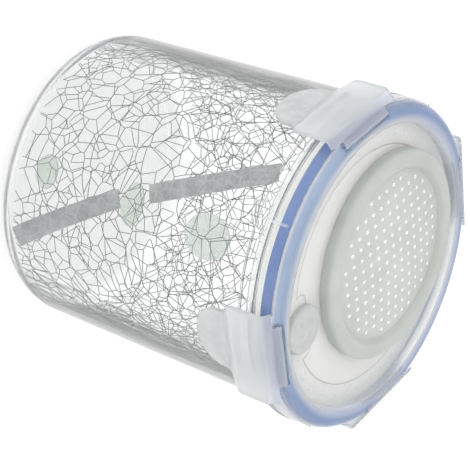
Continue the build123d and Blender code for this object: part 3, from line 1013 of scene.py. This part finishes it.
# Clips: four mouldings of milky soft plastic. Each has a barrel that snaps on its hinge bar, an arm
# that slopes over the ring, a rounded shoulder, a band with a hook inside and a round thumb tongue.
# The outer and inner lines run down a clip seen from its side, the front line is half its outline.
CLIP_OUTER_LINE = [(60.3, 125.2, 2.4), (60.3, 112.6, 3.0), (57.25, 108.0, 3.0), (57.25, 95.6, 0.0)]
CLIP_INNER_LINE = [(58.6, 125.13, 0.9), (58.6, 111.8, 3.0), (55.85, 107.2, 3.0), (55.85, 95.6, 0.0)]
CLIP_FRONT_LINE = [
    (17.7, 128.0, 0.0), (17.7, 112.6, 5.0), (11.8, 108.0, 3.0), (11.3, 95.6, 10.4), (0.0, 95.6, 0.0),
]
CLIP_WING_START = 2.0
CLIP_EDGE = 0.42
CLIP_TIP = 0.6
CLIP_HINGE_LENGTH = 24.0
CLIP_PAINTED_GASKET_LIGHT = (123.8, 126.6)
CLIP_GRIP_START = (107.0, 111.0)
BARREL_REACH = 1.0
BARREL_INSET = 0.15
BORE_GAP = 0.08
BORE_LENGTH = 30.0
HOOK_WIDTH = 20.0
HOOK_OUTLINE = [
    (59.45, 116.1), (58.6, 116.1), (56.7, 115.3), (56.7, 114.8), (58.6, 113.5), (59.45, 113.5),
]


def bent_line(corners, arc_steps, run_steps):
    """Open line through (across, up, rounding) corners, with as many points in each arc and run."""
    spots = [Vector(corner[:2]) for corner in corners]
    points = spots[:1]
    for index in range(1, len(spots)):
        ends = index == len(spots) - 1
        arc = [spots[index]]
        if not ends:
            arc = corner_arc(*spots[index - 1:index + 2], corners[index][2], arc_steps)
        last = points[-1]
        steps = 3 * run_steps if ends else run_steps
        for k in range(1, steps + 1):
            share = math.sin(math.pi / 2 * k / steps) if ends else k / steps
            points.append(last.lerp(arc[0], share))
        points += arc[1:]
    return points


clip_front = bent_line(CLIP_FRONT_LINE, 24, 2)


def clip_half_width(height):
    """Half the clip's width at a height, read off its outline seen from in front."""
    for upper, lower in zip(clip_front, clip_front[1:]):
        if upper.y >= height > lower.y:
            return max(CLIP_TIP, upper.lerp(lower, (upper.y - height) / (upper.y - lower.y)).x)
    return CLIP_TIP


def clip_section(half, wall):
    """Closed outline across a clip: (across, share of the wall's depth), its four edges rounded."""
    edge = min(CLIP_EDGE, 0.4 * half)
    outer = [((half - edge) * (k / 10 - 1), 0.0) for k in range(21)]
    turns = [math.radians(30 * k) for k in range(1, 4)]
    outer += [(half - edge + edge * math.sin(t), edge * (1 - math.cos(t)) / wall) for t in turns]
    inner = [(across, 1 - depth) for across, depth in reversed(outer)]
    return outer + inner + [(-across, depth) for across, depth in reversed((outer + inner)[21:27])]


def make_clip(name, direction):
    """One clip from rounded sections along its bent line, with its barrel, hook and bore."""
    place = Matrix.Rotation(math.radians(direction), 3, "Z")
    outer_line, inner_line = (
        bent_line([(*arm_point(CLIP_WING_START, depth), 0.0), *line], 12, 10)
        for depth, line in ((0, CLIP_OUTER_LINE), (ARM_WALL, CLIP_INNER_LINE))
    )
    bm = bmesh.new()
    rings = []
    for outer, inner in zip(outer_line, inner_line):
        section = clip_section(clip_half_width(outer.y), (inner - outer).length)
        ring = []
        for across, depth in section:
            spot = outer.lerp(inner, depth)
            ring.append(bm.verts.new(place @ Vector((spot.x, across, spot.y)) * MM))
        rings.append(ring)
    for ring, following in zip(rings, rings[1:]):
        bridge(bm, ring, following)
    bm.faces.new(rings[0])
    bm.faces.new(rings[-1])
    clip = finished_mesh(name, bm, sharpest=40)
    barrel = hinge_circle(BARREL, 30, first=90 - math.degrees(ARM_SLANT), sweep=235.0)
    barrel += [
        arm_point(CLIP_WING_START + BARREL_REACH, ARM_WALL - BARREL_INSET),
        arm_point(CLIP_WING_START + BARREL_REACH, BARREL_INSET), arm_point(0, BARREL_INSET),
    ]
    clip = combined(clip, [
        prism("barrel", barrel, CLIP_HINGE_LENGTH, direction),
        prism("hook", HOOK_OUTLINE, HOOK_WIDTH, direction),
    ], "UNION")
    bore = prism("bore", hinge_circle(HINGE_BAR + BORE_GAP, 24), BORE_LENGTH, direction)
    return combined(clip, [bore], "DIFFERENCE")


def milky_plastic():
    """Milky translucent plastic: satin, cloudy inside, a painted blue-lilac glow from the gasket over
    the ring and a cellular grip on the thumb tongue."""
    material, tree, plastic, place = blank_material("milky_plastic")
    cloud = noise(tree, place, 75.0, 4.0, Distortion=0.6)
    milk = toned(tree, cloud, (0.3, (0.87, 0.888, 0.895)), (0.7, (0.925, 0.94, 0.948)))
    height = height_of(tree, place)
    # Painted light: over the ring the colour turns blue-lilac, for the gasket's light below.
    low, high = (level * MM for level in CLIP_PAINTED_GASKET_LIGHT)
    painted_gasket_light = calculated(tree, "MULTIPLY", mask(tree, height, low, high), 0.8)
    with_painted_gasket_light = blended(tree, painted_gasket_light, milk, (0.77, 0.79, 0.88, 1))
    low, high = (level * MM for level in CLIP_GRIP_START)
    on_tongue = mask(tree, calculated(tree, "MULTIPLY", height, -1.0), -high, -low)
    cells = add(
        tree, "ShaderNodeTexVoronoi", {"Vector": place, "Scale": 400.0}, feature="SMOOTH_F1",
    )
    grip = calculated(tree, "MULTIPLY", mask(tree, cells, 0.15, 0.6), on_tongue)
    gripped = blended(tree, calculated(tree, "MULTIPLY", grip, 0.5), with_painted_gasket_light, (0.72, 0.75, 0.735, 1))
    skin = moulded_skin(tree, ripple=(75.0, 0.08, 1300.0, 0.08), haze=(60.0, 0.33, 0.45))
    skin["Normal"] = bumped(tree, grip, 0.35, 0.0003, skin["Normal"], invert=True)
    plug_in(tree, plastic, {
        "Base Color": gripped, "Transmission Weight": 0.75, "IOR": 1.45, **skin,
    })
    let_lamps_through(tree, plastic, (0.78, 0.79, 0.80, 1))
    return material


milky = milky_plastic()
for number, direction in enumerate(CLIP_DIRECTIONS, start=1):
    clip = make_clip("clip_" + str(number) + "_moulding", direction)
    clip.data.materials.clear()
    clip.data.materials.append(milky)
    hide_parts("clip_" + str(number))
    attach(clip, "clip_" + str(number))

# Floor, light and camera: a plain pale table, an even bright studio and a long lens held on its side,
# so that the standing jar fills the frame from corner to corner.
CAMERA_AZIMUTH = 2.5
CAMERA_ELEVATION = 33.0
CAMERA_ROLL = 109.17
CAMERA_DISTANCE = 605.8
CAMERA_SHIFT = (-48.48, 11.23)
CAMERA_LENS = 137.7
LID_FACE = 129.0
LIGHT_PATHS = 64

bm = bmesh.new()
bmesh.ops.create_grid(bm, x_segments=8, y_segments=8, size=2.0)
floor = finished_mesh("floor", bm)
paint, tree, top_coat, _ = blank_material("pale_floor")
plug_in(tree, top_coat, {
    "Base Color": (0.36, 0.36, 0.36, 1),
    "Roughness": 0.9,
    "Emission Color": (1.0, 1.0, 1.0, 1),
    "Emission Strength": 0.72,
})
floor.data.materials.append(paint)

scene = bpy.context.scene
world = bpy.data.worlds.new("studio")
world.use_nodes = True
scene.world = world
background = world.node_tree.nodes["Background"]
plug_in(world.node_tree, background, {"Color": (1.0, 1.0, 1.0, 1), "Strength": 1.0})

for name, spot, size, power in (
    ("softbox_left", (-0.7, -0.5, 1.1), 0.9, 2.6), ("softbox_right", (0.8, -0.2, 1.0), 0.9, 1.8),
):
    lamp = bpy.data.lights.new(name, "AREA")
    lamp.size = size
    lamp.energy = power
    light = placed(name, lamp)
    light.location = spot
    towards_jar = Vector((0, 0, 0.06)) - Vector(spot)
    light.rotation_euler = towards_jar.to_track_quat("-Z", "Y").to_euler()

azimuth, elevation, roll = (
    math.radians(angle) for angle in (CAMERA_AZIMUTH, CAMERA_ELEVATION, CAMERA_ROLL)
)
back = Vector((
    math.sin(azimuth) * math.cos(elevation), -math.cos(azimuth) * math.cos(elevation),
    math.sin(elevation),
))
level = Vector((math.cos(azimuth), math.sin(azimuth), 0))
upright = back.cross(level)
right = math.cos(roll) * level + math.sin(roll) * upright
up = -math.sin(roll) * level + math.cos(roll) * upright
lid_middle = Vector((0, 0, LID_FACE))
spot = (lid_middle + back * CAMERA_DISTANCE + right * CAMERA_SHIFT[0] + up * CAMERA_SHIFT[1]) * MM
lens = bpy.data.cameras.new("camera")
lens.lens = CAMERA_LENS
lens.clip_start = 0.01
camera = placed("camera", lens)
camera.matrix_world = Matrix.Translation(spot) @ Matrix((right, up, back)).transposed().to_4x4()
scene.camera = camera
scene.view_settings.view_transform = "Standard"
for kind in ("max", "glossy", "transmission", "transparent_max"):
    setattr(scene.cycles, kind + "_bounces", LIGHT_PATHS)
